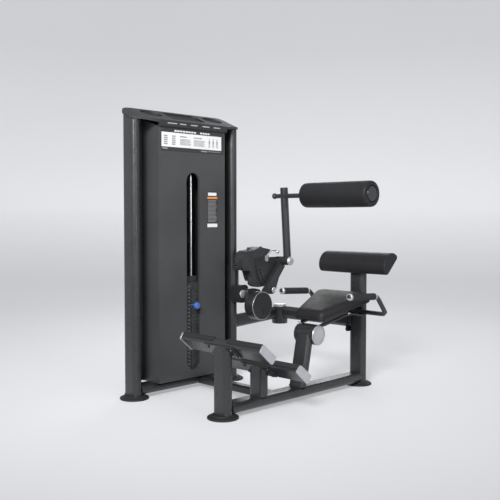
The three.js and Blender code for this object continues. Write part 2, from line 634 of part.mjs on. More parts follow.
// ---------------------------------------------------------------- pivot bracket, drum and strut
function buildPivotSupport() {
  const ring = cut(column(COLUMN.rearY, 457, 665, 12), column(COLUMN.rearY, 440, 680, GAP));
  const nose = [COLUMN.x + (COLUMN.wide - COLUMN.deep) / 2, COLUMN.rearY];
  const ray = (degrees) => {
    const angle = THREE.MathUtils.degToRad(degrees);
    return [nose[0] + 80 * Math.cos(angle), nose[1] + 80 * Math.sin(angle)];
  };
  const window = prism(polygon([nose, ray(-64), ray(-42)]), "Z", 440, 680);
  const bolts = [470, 653].map((z) => prism(disc(COLUMN.rearY, z, 8), "X", 50, 58, 6));
  const boss = roundedPolygon([[640, 452], [724, 452], [724, 554], [640, 554]], 30);
  const rib = roundedPolygon([[690, 456], [772, 460], [800, 480], [790, 522], [735, 534], [690, 534]], 14);
  addPart("pivot_bracket", "frame", join(
    cut(ring, window),
    ...bolts,
    prism(boss, "X", 50, 108, 5),
    prism(rib, "X", 80, DRUM.x0 - GAP, 3),
  ));

  const { y, z, radius, x0, x1 } = DRUM;
  const shell = cut(prism(disc(y, z, radius), "X", x0, x1, 18), prism(disc(y, z, radius - 5), "X", x0 + 5, x1 + 5, 18));
  addPart("drum", "frame", join(shell, prism(disc(y, z, 16), "X", x0 + 4, x1 - 2, 8)));
  const cover = [[0, 0], [77, 0], [77, 3], [75, 5], [72, 5], [71, 4], [0, 4]];
  addPart("drum_cover", "frame", turned(cover, "X", [x1 + GAP, y, z], 40));

  const bar = polygon([[905, 688], [934, 664], [840, 560], [806, 515], [770, 480], [750, 500], [766, 527]]);
  const gusset = roundedPolygon([[925, 665], [944, 652], [892, 590], [874, 545], [862, 506], [838, 496], [800, 500], [800, 545]], 8);
  const eye = disc(PIVOT.y, PIVOT.z, 27);
  const shaftHole = prism(disc(PIVOT.y, PIVOT.z, 15.3), "X", 170, 210, 12);
  const pinHole = prism(disc(839, 521, 6.3), "X", 170, 210, 6);
  const drumSpace = prism(disc(y, z, radius + GAP), "X", x0 - 1, x1 + 8, 18);
  addPart("strut", "frame", cut(
    join(prism(bar, "X", 177, 201.5), prism(gusset, "X", 180, 192, 3), prism(eye, "X", 177, 201.5, 12)),
    shaftHole, pinHole, drumSpace,
  ));

  const pin = [[0, -16], [5.8, -15], [5.8, 12], [12, 13], [17, 15], [17, 20], [12, 22], [9, 19], [0, 19]];
  addPart("pull_pin", "silver", turned(pin, "X", [182, 839, 521], 20));
}

// ---------------------------------------------------------------- swinging arm
function onSector(radius, degrees) {
  const angle = THREE.MathUtils.degToRad(degrees);
  return [PIVOT.y + radius * Math.cos(angle), PIVOT.z + radius * Math.sin(angle)];
}

function buildSector() {
  const arc = [];
  for (let degrees = 174; degrees <= 232; degrees += 5.8) arc.push(onSector(196, degrees));
  const slice = polygon([[925, 709], ...arc, [918, 662]]);
  const holes = [196, 202.5, 209, 215.5, 222, 228.5].map((degrees) =>
    prism(disc(...onSector(174, degrees), 6), "X", 150, 180, 5));
  const hub = prism(disc(PIVOT.y, PIVOT.z, 27), "X", 160, 176.5, 12);
  const lip = prism(polygon([[733, 700], [925, 706], [925, 711], [733, 706]]), "X", 160, 175);
  const boss = prism(disc(PIVOT.y, PIVOT.z, 15.3), "X", 150, 180, 12);
  const lever = prism(disc(800, 695, 6.3), "X", 150, 180, 6);
  addPart("sector_plate", "frame", cut(join(prism(slice, "X", 160, 170), hub, lip), boss, lever, ...holes));
}

function buildCounterweight() {
  const body = [[630, 640], [628, 705], [645, 738], [672, 750], [769, 752], [835, 722], [852, 690]];
  body.push([846, 640], [800, 600], [762, 572], [716, 570], [702, 600], [690, 637]);
  const lobe = [[696, 606], [684, 560], [712, 545], [749, 539], [798, 541], [826, 560], [824, 620]];
  const clamp = [[699, 744], [765, 768], [852, 752], [838, 722], [830, 722], [765, 750], [709, 740]];
  const slots = [690, 665].map((z) => block([80, 112], [600, 700], [z - 4, z + 4]));
  const bolts = [[720, 760], [820, 762]].map(([y, z]) => prism(disc(112, y, 8), "Z", z - 16, z + 6, 4));
  addPart("counterweight", "iron", join(
    cut(prism(roundedPolygon(body, 16), "X", 90, 160 - GAP, 3), ...slots),
    prism(roundedPolygon(lobe, 14), "X", 138, 160 - GAP, 3),
    prism(polygon(clamp), "X", 84, 160 - GAP),
    ...bolts,
  ));
}

function buildArm() {
  buildSector();
  buildCounterweight();
  const shaft = [[0, 149], [20, 149], [20, 159.5], [15, 159.5], [15, 247.3], [25, 247.3], [25, 254]];
  shaft.push([21, 260], [12, 263], [0, 264]);
  addPart("pivot_shaft", "silver", turned(shaft, "X", [0, PIVOT.y, PIVOT.z], 24));

  const foot = new THREE.Vector3(ARM.x, 926.5, 690);
  const head = new THREE.Vector3(ARM.x, ...ARM.top);
  const length = head.distanceTo(foot);
  const turn = new THREE.Quaternion().setFromUnitVectors(Z, head.clone().sub(foot).normalize());
  const place = (geometry) => geometry.applyQuaternion(turn).translate(...foot.toArray());
  const tube = place(turned([[0, 0], [22.5, 0], [22.5, length - 5], [19, length], [0, length]], "Z", [0, 0, 0], 20));
  const hollow = place(prism(disc(0, 0, 19.5), "Z", 30, length - 6, 8));
  const hub = prism(disc(PIVOT.y, PIVOT.z, 25), "X", 204.5, 247, 12);
  const bore = prism(disc(PIVOT.y, PIVOT.z, 15.3), "X", 190, 260, 12);
  const axleBore = prism(disc(ROLLER.y, ROLLER.z, 13.8), "X", 190, 260, 8);
  addPart("arm_upright", "frame", cut(join(tube, hub), bore, hollow, axleBore));

  const { radius, bore: hole, x0, x1 } = ROLLER;
  const axle = [[0, 148], [14, 148], [17, 151], [17, 163], [13.5, 165], [13.5, x1 - 9.7], [40, x1 - 9.7]];
  axle.push([40, x1 - 2], [37, x1], [0, x1]);
  addPart("roller_axle", "frame", turned(axle, "X", [0, ROLLER.y, ROLLER.z], 24));
  const roller = [[hole, x0], [52, x0], [62, x0 + 2.5], [67, x0 + 6.5], [radius, x0 + 13], [radius, x1 - 10]];
  roller.push([67.5, x1 - 5], [64.5, x1 - 1.5], [60, x1], [44, x1], [44, x1 - 10], [hole, x1 - 10], [hole, x0]);
  addPart("roller_pad", "vinyl", turned(roller, "X", [0, ROLLER.y, ROLLER.z], 32));

  const leverPath = bentPath([
    new THREE.Vector3(180, 800, 716), new THREE.Vector3(180, 842, 752), new THREE.Vector3(180, 888, 740),
  ], [16]);
  const rod = new THREE.ExtrudeGeometry(disc(0, 0, 4), { steps: 10, extrudePath: leverPath, curveSegments: 4 });
  const ball = new THREE.SphereGeometry(11, 12, 8).translate(180, 891, 738);
  const eye = prism(roundedPolygon([[790, 685], [810, 685], [810, 720], [790, 720]], 9), "X", 175.5, 184, 4);
  addPart("release_lever", "silver", join(eye, prism(disc(800, 695, 5.9), "X", 160.2, 180, 6), rod, ball));
}

buildFeet();
buildTowerFrame();
buildShrouds();
buildStack();
buildPulley();
buildLaneFrame();
buildFootrest("upper", UPPER_SECTION);
buildFootrest("lower", LOWER_SECTION);
buildSeat();
buildRearFrame();
buildLumbar();
buildHandles();
buildPivotSupport();
buildArm();

export default root;
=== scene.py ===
"""Looks of a seated back extension machine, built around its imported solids.

Lengths in `at` and in the shape tables are millimetres from the foot of the front column;
everything placed in the scene is in metres from the centre of the footprint.
"""

import json
import math
import random

import bmesh
import bpy
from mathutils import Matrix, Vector, noise

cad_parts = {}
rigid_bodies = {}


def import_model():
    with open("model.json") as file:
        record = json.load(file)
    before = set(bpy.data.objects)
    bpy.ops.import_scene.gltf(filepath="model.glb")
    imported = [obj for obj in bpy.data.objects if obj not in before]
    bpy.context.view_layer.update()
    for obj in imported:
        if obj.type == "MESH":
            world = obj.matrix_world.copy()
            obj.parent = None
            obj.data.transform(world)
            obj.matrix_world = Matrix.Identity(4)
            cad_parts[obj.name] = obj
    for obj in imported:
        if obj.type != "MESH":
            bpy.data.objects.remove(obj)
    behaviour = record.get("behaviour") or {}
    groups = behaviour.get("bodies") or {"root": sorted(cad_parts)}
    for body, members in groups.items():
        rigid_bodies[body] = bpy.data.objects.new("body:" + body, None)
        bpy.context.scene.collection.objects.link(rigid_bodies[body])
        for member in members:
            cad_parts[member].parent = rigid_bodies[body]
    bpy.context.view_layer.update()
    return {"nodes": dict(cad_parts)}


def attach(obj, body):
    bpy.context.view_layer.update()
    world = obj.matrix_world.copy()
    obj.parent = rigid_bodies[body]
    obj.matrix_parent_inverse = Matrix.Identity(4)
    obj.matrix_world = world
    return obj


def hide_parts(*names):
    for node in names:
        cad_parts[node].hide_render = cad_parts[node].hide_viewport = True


CENTRE = (403.5, 548.5)
LANE_X = 607.0
GRIP_OFFSET = 231
COVER_EDGE = (85, 1437.6)
COVER_SLOPE = 0.43
FLOOR_GLOW = 0.3
WALL_GLOW = 0.5
MM = 0.001
FORWARD = Vector((0, -1, 0))
random.seed(7)

for startup_object in list(bpy.data.objects):
    bpy.data.objects.remove(startup_object)
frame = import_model()


def at(x, y, z):
    """A point given in millimetres from the front column's foot, in the scene's metres."""
    return Vector(((x - CENTRE[0]) * MM, (y - CENTRE[1]) * MM, z * MM))


# ---------------------------------------------------------------- materials
class Shader:
    """A small builder of procedural materials around one Principled shader."""

    def __init__(self, name, colour, roughness, metallic=0.0):
        self.material = bpy.data.materials.new(name)
        self.material.use_nodes = True
        self.tree = self.material.node_tree
        self.principled = self.tree.nodes["Principled BSDF"]
        self.colour = colour
        self.set("Base Color", (*colour, 1.0))
        self.set("Roughness", roughness)
        self.set("Metallic", metallic)
        self.coordinates = self.node("ShaderNodeTexCoord").outputs["Object"]

    def node(self, kind, **settings):
        made = self.tree.nodes.new(kind)
        for key, value in settings.items():
            setattr(made, key, value)
        return made

    def set(self, socket, value):
        self.principled.inputs[socket].default_value = value

    def link(self, source, target):
        self.tree.links.new(source, target)

    def stretched(self, scale, rotation=(0.0, 0.0, 0.0)):
        mapping = self.node("ShaderNodeMapping")
        mapping.inputs["Scale"].default_value = scale
        mapping.inputs["Rotation"].default_value = rotation
        self.link(self.coordinates, mapping.inputs["Vector"])
        return mapping.outputs["Vector"]

    def noise(self, scale, detail=3.0, vector=None):
        texture = self.node("ShaderNodeTexNoise")
        texture.inputs["Scale"].default_value = scale
        texture.inputs["Detail"].default_value = detail
        self.link(vector or self.coordinates, texture.inputs["Vector"])
        return texture.outputs["Fac"]

    def voronoi(self, scale, randomness=1.0, vector=None, dimensions="3D"):
        texture = self.node("ShaderNodeTexVoronoi", voronoi_dimensions=dimensions)
        texture.inputs["Scale"].default_value = scale
        texture.inputs["Randomness"].default_value = randomness
        self.link(vector or self.coordinates, texture.inputs["Vector"])
        return texture.outputs["Distance"]

    def remap(self, value, low, high, start=0.3, end=0.7):
        node = self.node("ShaderNodeMapRange")
        node.inputs["From Min"].default_value = start
        node.inputs["From Max"].default_value = end
        node.inputs["To Min"].default_value = low
        node.inputs["To Max"].default_value = high
        self.link(value, node.inputs["Value"])
        return node.outputs["Result"]

    def shade(self, value, dark, light):
        """Varies the base colour between two multiples of it."""
        mix = self.node("ShaderNodeMix", data_type="RGBA")
        mix.inputs["A"].default_value = (*[c * dark for c in self.colour], 1.0)
        mix.inputs["B"].default_value = (*[c * light for c in self.colour], 1.0)
        self.link(self.remap(value, 0.0, 1.0), mix.inputs["Factor"])
        self.link(mix.outputs["Result"], self.principled.inputs["Base Color"])

    def roughen(self, value, low, high):
        self.link(self.remap(value, low, high), self.principled.inputs["Roughness"])

    def bumps(self, *layers):
        """Stacks bump layers given as (height value, depth in metres)."""
        normal = None
        for height, depth in layers:
            bump = self.node("ShaderNodeBump")
            bump.inputs["Strength"].default_value = 1.0
            bump.inputs["Distance"].default_value = depth
            self.link(height, bump.inputs["Height"])
            if normal is not None:
                self.link(normal, bump.inputs["Normal"])
            normal = bump.outputs["Normal"]
        self.link(normal, self.principled.inputs["Normal"])


def powder_coat(name, colour, roughness, grain=900.0, depth=0.00006):
    s = Shader(name, colour, roughness)
    s.set("Specular IOR Level", 0.5)
    s.set("Coat Weight", 0.15)
    s.set("Coat Roughness", 0.3)
    s.shade(s.noise(5.0, 4.0), 0.88, 1.12)
    s.roughen(s.noise(24.0, 3.0), roughness - 0.05, roughness + 0.05)
    s.bumps((s.noise(grain, 2.0), depth), (s.noise(40.0, 1.0), 0.00004))
    return s.material


def moulded_plastic(name, colour, roughness):
    s = Shader(name, colour, roughness)
    s.shade(s.noise(9.0, 4.0), 0.9, 1.1)
    s.roughen(s.noise(60.0, 2.0), roughness - 0.05, roughness + 0.06)
    s.bumps((s.voronoi(1500.0), 0.00005), (s.noise(500.0, 2.0), 0.00003))
    return s.material


def polished_chrome(name):
    s = Shader(name, (0.82, 0.83, 0.85), 0.08, 1.0)
    streaks = s.noise(1.0, 2.0, s.stretched((900.0, 900.0, 12.0)))
    s.roughen(streaks, 0.05, 0.14)
    s.shade(s.noise(14.0, 3.0), 0.94, 1.0)
    s.bumps((streaks, 0.000004))
    return s.material


def satin_silver(name, colour=(0.56, 0.57, 0.59), roughness=0.34):
    s = Shader(name, colour, roughness, 0.75)
    brushed = s.noise(1.0, 3.0, s.stretched((500.0, 60.0, 500.0)))
    s.roughen(brushed, roughness - 0.06, roughness + 0.08)
    s.shade(s.noise(18.0, 3.0), 0.92, 1.05)
    s.bumps((brushed, 0.000012))
    return s.material


def black_iron(name):
    s = Shader(name, (0.022, 0.023, 0.025), 0.5)
    s.shade(s.noise(30.0, 5.0), 0.75, 1.3)
    s.roughen(s.noise(90.0, 3.0), 0.42, 0.6)
    s.bumps((s.noise(260.0, 5.0), 0.00022), (s.noise(1200.0, 2.0), 0.00005))
    return s.material


def plain_rubber(name, colour=(0.009, 0.009, 0.0095)):
    s = Shader(name, colour, 0.72)
    s.shade(s.noise(20.0, 4.0), 0.8, 1.25)
    s.roughen(s.noise(70.0, 3.0), 0.62, 0.82)
    s.bumps((s.noise(700.0, 3.0), 0.00008))
    return s.material


def dotted_rubber(name, slope):
    """Rubber with rows of small round studs on a face that falls to the rear by `slope` radians."""
    s = Shader(name, (0.013, 0.013, 0.014), 0.7)
    face = s.stretched((1.0, 1.0, 1.0), (slope, 0.0, 0.0))
    studs = s.voronoi(125.0, 0.0, face, "2D")
    s.shade(s.remap(studs, 1.0, 0.0, 0.15, 0.4), 0.75, 1.5)
    s.roughen(s.noise(80.0, 3.0), 0.6, 0.8)
    s.bumps((s.remap(studs, 1.0, 0.0, 0.2, 0.38), 0.0009), (s.noise(900.0, 2.0), 0.00005))
    return s.material


def ribbed_foam(name):
    s = Shader(name, (0.011, 0.011, 0.012), 0.7)
    ribs = s.node("ShaderNodeTexWave", wave_type="BANDS", bands_direction="Y")
    ribs.inputs["Scale"].default_value = 75.0
    s.link(s.coordinates, ribs.inputs["Vector"])
    s.shade(s.noise(40.0, 4.0), 0.8, 1.3)
    s.roughen(s.noise(100.0, 3.0), 0.65, 0.85)
    s.bumps((ribs.outputs["Fac"], 0.0004), (s.noise(900.0, 3.0), 0.00012))
    return s.material


def grained_vinyl(name):
    s = Shader(name, (0.012, 0.012, 0.013), 0.42)
    s.set("Specular IOR Level", 0.28)
    s.shade(s.noise(6.0, 4.0), 0.85, 1.2)
    s.roughen(s.noise(40.0, 3.0), 0.48, 0.58)
    s.bumps((s.noise(26.0, 2.0), 0.00016), (s.voronoi(620.0), 0.0002), (s.noise(1500.0, 3.0), 0.00004))
    return s.material


def printed_card(name, colour, roughness=0.45):
    s = Shader(name, colour, roughness)
    s.shade(s.noise(60.0, 4.0), 0.96, 1.02)
    s.roughen(s.noise(200.0, 2.0), roughness - 0.05, roughness + 0.05)
    s.bumps((s.noise(800.0, 2.0), 0.00001))
    return s.material


def twisted_cable(name):
    s = Shader(name, (0.03, 0.03, 0.032), 0.4, 0.3)
    lay = s.node("ShaderNodeTexWave", wave_type="BANDS", bands_direction="DIAGONAL")
    lay.inputs["Scale"].default_value = 160.0
    s.link(s.coordinates, lay.inputs["Vector"])
    s.shade(s.noise(50.0, 3.0), 0.8, 1.3)
    s.bumps((lay.outputs["Fac"], 0.0003))
    return s.material


def studio_paper(name):
    """Pale paper whose walls glow softly, so that they match the lit floor."""
    s = Shader(name, (0.5, 0.507, 0.52), 0.9)
    s.set("Specular IOR Level", 0.1)
    s.set("Emission Color", (0.97, 0.98, 1.0, 1.0))
    split = s.node("ShaderNodeSeparateXYZ")
    s.link(s.coordinates, split.inputs["Vector"])
    rise = s.remap(split.outputs["Z"], FLOOR_GLOW, WALL_GLOW, 0.0, 1.1)
    fall = s.remap(split.outputs["Z"], 1.0, 0.72, 1.4, 4.2)
    glow = s.node("ShaderNodeMath", operation="MULTIPLY")
    s.link(rise, glow.inputs[0])
    s.link(fall, glow.inputs[1])
    s.link(glow.outputs["Value"], s.principled.inputs["Emission Strength"])
    s.shade(s.noise(0.6, 2.0), 0.99, 1.01)
    return s.material


COAT = powder_coat("charcoal_powder_coat", (0.019, 0.0195, 0.021), 0.31)
SHEET = powder_coat("dark_sheet_powder_coat", (0.036, 0.0365, 0.038), 0.4, 1200.0, 0.00004)
PLASTIC = moulded_plastic("black_moulding", (0.016, 0.0165, 0.018), 0.5)
PLACARD = moulded_plastic("placard_black", (0.022, 0.023, 0.025), 0.4)
CHROME = polished_chrome("polished_rod")
SILVER = satin_silver("satin_silver")
PALE = satin_silver("pale_silver_cap", (0.52, 0.53, 0.55), 0.42)
IRON = black_iron("enamelled_iron")
RUBBER = plain_rubber("black_rubber")
TREAD = dotted_rubber("studded_rubber", math.radians(39.0))
FOAM = ribbed_foam("grip_foam")
VINYL = grained_vinyl("grained_vinyl")
THREAD = plain_rubber("seam_thread", (0.045, 0.045, 0.048))
BLUE = moulded_plastic("blue_knob", (0.04, 0.105, 0.33), 0.3)
CABLE = twisted_cable("coated_cable")
WHITE = printed_card("white_print", (0.6, 0.605, 0.61))
GREY_PRINT = printed_card("grey_print", (0.2, 0.203, 0.206))
ORANGE = printed_card("orange_print", (0.55, 0.2, 0.045))
DIM_PRINT = printed_card("dim_print", (0.09, 0.091, 0.093))
# Painted shade: a darker black laid on the floors and walls of the top cover's cups and tray.
RECESS_SHADE = moulded_plastic("recess_painted_shade", (0.006, 0.006, 0.0065), 0.7)
PAPER = studio_paper("studio_paper")


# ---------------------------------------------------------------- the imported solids
NODE_MATERIALS = {
    "front_shroud": SHEET,
    "rear_shroud": SHEET,
    "top_cover": PLASTIC,
    "placard": PLACARD,
    "top_pulley": PLASTIC,
    "guide_rod_front": CHROME,
    "guide_rod_rear": CHROME,
    "resting_plates": IRON,
    "raised_plates": IRON,
    "top_plate": IRON,
    "counterweight": IRON,
    "stack_buffer": RUBBER,
    "grip_inner": FOAM,
    "grip_outer": FOAM,
    "lift_cable": CABLE,
    "selector_pin": BLUE,
    "hub_cap": PALE,
    "pivot_shaft": PALE,
    "pull_pin": SILVER,
    "release_lever": SILVER,
}


def material_of(node):
    if node in NODE_MATERIALS:
        return NODE_MATERIALS[node]
    if node.endswith("_foot"):
        return RUBBER
    if "_tread_" in node:
        return TREAD
    if "_cap_" in node:
        return PALE
    return COAT


def soften_edges(obj, width):
    """Welds the split triangles, rounds the hard edges and shades the curved faces smoothly."""
    mesh = obj.data
    if "custom_normal" in mesh.attributes:
        mesh.attributes.remove(mesh.attributes["custom_normal"])
    mesh.polygons.foreach_set("use_smooth", [True] * len(mesh.polygons))
    weld = obj.modifiers.new("weld", "WELD")
    weld.merge_threshold = 0.00001
    bevel = obj.modifiers.new("bevel", "BEVEL")
    bevel.width = width
    bevel.segments = 2
    bevel.limit_method = "ANGLE"
    bevel.angle_limit = math.radians(32.0)
    bevel.harden_normals = True
    weighted = obj.modifiers.new("weighted", "WEIGHTED_NORMAL")
    weighted.keep_sharp = True


def repaint(node, material, chosen):
    """Gives the faces of a CAD node whose centre passes the test a material of their own."""
    obj = frame["nodes"][node]
    obj.data.materials.append(material)
    slot = len(obj.data.materials) - 1
    for polygon in obj.data.polygons:
        if chosen(polygon.center):
            polygon.material_index = slot


def in_cover_recess(centre):
    """Whether a face of the top cover lies on the floor or wall of its cups and tray."""
    x, y = centre.x / MM + CENTRE[0], centre.y / MM + CENTRE[1]
    surface = COVER_EDGE[1] + (COVER_EDGE[0] - x) * COVER_SLOPE
    depth = surface - centre.z / MM
    return 1.0 < depth < 10.5 and -64 < x < 54 and 60 < y < 624


def dress_nodes():
    thin = {"front_shroud": 0.0006, "rear_shroud": 0.0006, "placard": 0.0005, "guide_rod_front": 0.0008}
    for node, obj in frame["nodes"].items():
        obj.data.materials.clear()
        obj.data.materials.append(material_of(node))
        soften_edges(obj, thin.get(node, 0.0012))
    repaint("corner_post", SILVER, lambda c: c.z > 0.3915)
    # The cover's cups and tray get the darker black, which is painted shade in the recesses.
    repaint("top_cover", RECESS_SHADE, in_cover_recess)
    front_cap = at(0, 725, 0).y
    collar = at(0, 924, 0).y
    collar_width = 0.0095
    grip_low = 0.505
    for side in (-1, 1):
        grip_x = at(LANE_X + side * GRIP_OFFSET, 0, 0).x

        def on_ring(centre, grip_x=grip_x):
            """Whether a face lies on the grip's front cap or its rear collar."""
            if abs(centre.x - grip_x) >= 0.03 or centre.z <= grip_low:
                return False
            return centre.y < front_cap or collar < centre.y < collar + collar_width

        repaint("handle_bar", PALE, on_ring)


# ---------------------------------------------------------------- mesh helpers
def finish_mesh(name, verts, faces, material, smooth=True):
    mesh = bpy.data.meshes.new(name)
    mesh.from_pydata([tuple(v) for v in verts], [], faces)
    mesh.materials.append(material)
    mesh.polygons.foreach_set("use_smooth", [smooth] * len(mesh.polygons))
    mesh.validate()
    obj = bpy.data.objects.new(name, mesh)
    bpy.context.scene.collection.objects.link(obj)
    return obj


def loft(name, rings, material, levels=1):
    """A closed skin through rings of equal point counts; each end is closed by a fan."""
    count = len(rings[0])
    verts = [point for ring in rings for point in ring]
    faces = []
    for i in range(len(rings) - 1):
        for j in range(count):
            k = (j + 1) % count
            faces.append((i * count + j, i * count + k, (i + 1) * count + k, (i + 1) * count + j))
    for ring, flip in ((0, True), (len(rings) - 1, False)):
        middle = sum((Vector(p) for p in rings[ring]), Vector()) / count
        verts.append(middle)
        for j in range(count):
            k = (j + 1) % count
            triangle = (ring * count + j, ring * count + k, len(verts) - 1)
            faces.append(triangle[::-1] if flip else triangle)
    obj = finish_mesh(name, verts, faces, material)
    fix_normals(obj.data)
    if levels:
        subdivision = obj.modifiers.new("subdivision", "SUBSURF")
        subdivision.levels = levels
        subdivision.render_levels = levels
    return obj


def fix_normals(mesh):
    work = bmesh.new()
    work.from_mesh(mesh)
    bmesh.ops.recalc_face_normals(work, faces=work.faces)
    work.to_mesh(mesh)
    work.free()


def rounded_outline(corners, radius, turns=6, step=16.0):
    """Points round a polygon of (a, b) corners with each corner rounded by a curve."""
    points = []
    total = len(corners)
    for i, corner in enumerate(corners):
        corner = Vector(corner)
        before = Vector(corners[i - 1]) - corner
        after = Vector(corners[(i + 1) % total]) - corner
        reach = min(radius, before.length / 2.05, after.length / 2.05)
        start = corner + before.normalized() * reach
        end = corner + after.normalized() * reach
        for t in (k / turns for k in range(turns + 1)):
            points.append(start * (1 - t) ** 2 + corner * 2 * t * (1 - t) + end * t * t)
        follow = Vector(corners[(i + 1) % total])
        other = Vector(corners[(i + 2) % total]) - follow
        next_reach = min(radius, after.length / 2.05, other.length / 2.05)
        target = follow - after.normalized() * next_reach
        run = (target - end).length
        extra = max(0, int(run / step) - 1)
        points.extend(end.lerp(target, (k + 1) / (extra + 1)) for k in range(extra))
    return points


def box_verts(low, high):
    return [(x, y, z) for x in (low[0], high[0]) for y in (low[1], high[1]) for z in (low[2], high[2])]


BOX_FACES = [(0, 1, 3, 2), (4, 6, 7, 5), (0, 4, 5, 1), (2, 3, 7, 6), (0, 2, 6, 4), (1, 5, 7, 3)]


def boxes(name, spans, material, bevel=0.0):
    """One object of several boxes, each given as its low and high corner in scene metres."""
    verts = []
    faces = []
    for low, high in spans:
        start = len(verts)
        verts.extend(box_verts(low, high))
        faces.extend(tuple(start + i for i in face) for face in BOX_FACES)
    obj = finish_mesh(name, verts, faces, material, smooth=False)
    fix_normals(obj.data)
    if bevel:
        modifier = obj.modifiers.new("bevel", "BEVEL")
        modifier.width = bevel
        modifier.segments = 2
    return obj


def turned(name, profile, centre, axis, material, segments=40):
    """A closed shape turned from (radius, height) points about an axis through `centre`."""
    turn = Vector((0, 0, 1)).rotation_difference(axis).to_matrix()
    rings = []
    for radius, height in profile:
        angles = (2 * math.pi * k / segments for k in range(segments))
        ring = [Vector((radius * math.cos(a), radius * math.sin(a), height)) * MM for a in angles]
        rings.append([centre + turn @ point for point in ring])
    return loft(name, rings, material, levels=0)


def tube_along(name, points, radius, material, closed=False, sides=8):
    """A round bead that follows a polyline of scene points."""
    curve = bpy.data.curves.new(name, "CURVE")
    curve.dimensions = "3D"
    curve.bevel_depth = radius
    curve.bevel_resolution = max(1, sides // 4)
    spline = curve.splines.new("POLY")
    spline.points.add(len(points) - 1)
    for target, point in zip(spline.points, points):
        target.co = (*point, 1.0)
    spline.use_cyclic_u = closed
    obj = bpy.data.objects.new(name, curve)
    bpy.context.scene.collection.objects.link(obj)
    bpy.context.view_layer.update()
    mesh = bpy.data.meshes.new_from_object(obj)
    bpy.data.objects.remove(obj)
    made = bpy.data.objects.new(name, mesh)
    mesh.materials.clear()
    mesh.materials.append(material)
    mesh.polygons.foreach_set("use_smooth", [True] * len(mesh.polygons))
    bpy.context.scene.collection.objects.link(made)
    return made


def soft_wave(point, size=0.0006, scale=26.0):
    """A small uneven swell, so that an upholstered skin isn't perfectly regular."""
    return noise.noise(Vector(point) * scale) * size


# ---------------------------------------------------------------- upholstery
SEAT = {"y": 658.0, "z": 399.0, "rise": math.radians(15.95), "length": 350.0, "front": 90.0, "rear": 185.0}
SEAT_LAYERS = [
    (16, 0.5), (5, 1.5), (1, 5), (0, 10), (0.2, 14), (2.0, 15.5), (0.4, 17), (0.5, 24), (2, 33),
    (5, 39), (7, 41), (9.5, 41.4), (10.5, 43.6), (15, 46.6), (22, 48.6), (32, 50),
]
SEAT_CROWN = [(0.72, 51.2), (0.5, 52.2), (0.28, 52.9), (0.08, 53.1)]


def inset_outline(outline, distance):
    """The outline with every point moved inward along its own normal."""
    total = len(outline)
    area = sum(outline[i - 1].x * outline[i].y - outline[i].x * outline[i - 1].y for i in range(total))
    turn = 1.0 if area > 0 else -1.0
    moved = []
    for i, point in enumerate(outline):
        along = outline[(i + 1) % total] - outline[i - 1]
        inward = Vector((-along.y, along.x)).normalized() * turn
        moved.append(point + inward * distance)
    return moved


def seat_point(across, along, height):
    """A point of the cushion from its own directions, which lean with the seat."""
    lean = 20.0 * min(1.0, height / 47.0) * (1.0 - along / SEAT["length"])
    reach = along + lean
    rise = SEAT["rise"]
    y = SEAT["y"] + reach * math.cos(rise) - height * math.sin(rise)
    z = SEAT["z"] + reach * math.sin(rise) + height * math.cos(rise)
    return at(LANE_X + across, y, z)


def build_seat_cushion():
    front, rear, length = SEAT["front"], SEAT["rear"], SEAT["length"]
    corners = [(-front, 0), (front, 0), (rear, length - 36), (rear - 36, length), (36 - rear, length)]
    corners.append((-rear, length - 36))
    outline = rounded_outline(corners, 24.0, 5, 14.0)
    middle = sum(outline, Vector((0, 0))) / len(outline)
    rings = []
    for inset, height in SEAT_LAYERS:
        rings.append([seat_point(p.x, p.y, height) for p in inset_outline(outline, inset)])
    inner = inset_outline(outline, SEAT_LAYERS[-1][0])
    for share, height in SEAT_CROWN:
        rings.append([seat_point(*(middle + (p - middle) * share), height) for p in inner])
    rings = [[p + Vector((0, 0, soft_wave(p))) for p in ring] for ring in rings]
    cushion = loft("seat_upholstery", rings, VINYL, 1)
    declare_pad(cushion, "seat_cushion", "frame")
    seam = [seat_point(p.x, p.y, 41.2) for p in inset_outline(outline, 7.2)]
    stitches("seat_stitches", seam, "frame")
    low_seam = [seat_point(p.x, p.y, 15.5) for p in inset_outline(outline, 0.6)]
    bead = tube_along("seat_piping", low_seam, 0.0016, VINYL, closed=True)
    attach(bead, "frame")


def declare_pad(obj, node, body):
    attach(obj, body)
    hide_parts(node)


def stitches(name, path, body, length=0.0042, gap=0.0028, radius=0.0004):
    """A row of short raised threads along a closed line."""
    verts = []
    faces = []
    position = 0.0
    total = len(path)
    for i in range(total):
        start = Vector(path[i])
        end = Vector(path[(i + 1) % total])
        run = (end - start).length
        while position < run:
            direction = (end - start).normalized()
            side = direction.cross(Vector((0, 0, 1))).normalized() * radius
            up = side.cross(direction).normalized() * radius
            a = start + direction * position
            b = a + direction * length
            base = len(verts)
            for centre in (a, b):
                verts.extend([centre + side, centre + up, centre - side, centre - up])
            for k in range(4):
                m = (k + 1) % 4
                faces.append((base + k, base + m, base + 4 + m, base + 4 + k))
            faces.append((base, base + 3, base + 2, base + 1))
            faces.append((base + 4, base + 5, base + 6, base + 7))
            position += length + gap
        position -= run
    obj = finish_mesh(name, verts, faces, THREAD)
    fix_normals(obj.data)
    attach(obj, body)


LUMBAR_CORNERS = [
    (1054, 627), (1145, 715), (1142, 731), (1113, 746), (1074, 742), (1048, 727), (1028, 703),
    (1020, 675), (1023, 648), (1036, 631),
]
LUMBAR_SECTIONS = [
    (0.3, 0.30), (0.3, 0.62), (0.6, 0.88), (1.8, 0.95), (4.2, 0.985), (6.0, 0.992), (7.2, 0.976),
    (8.6, 0.99), (20.0, 0.996), (70.0, 1.0), (130.0, 1.004), (228.0, 1.006),
]


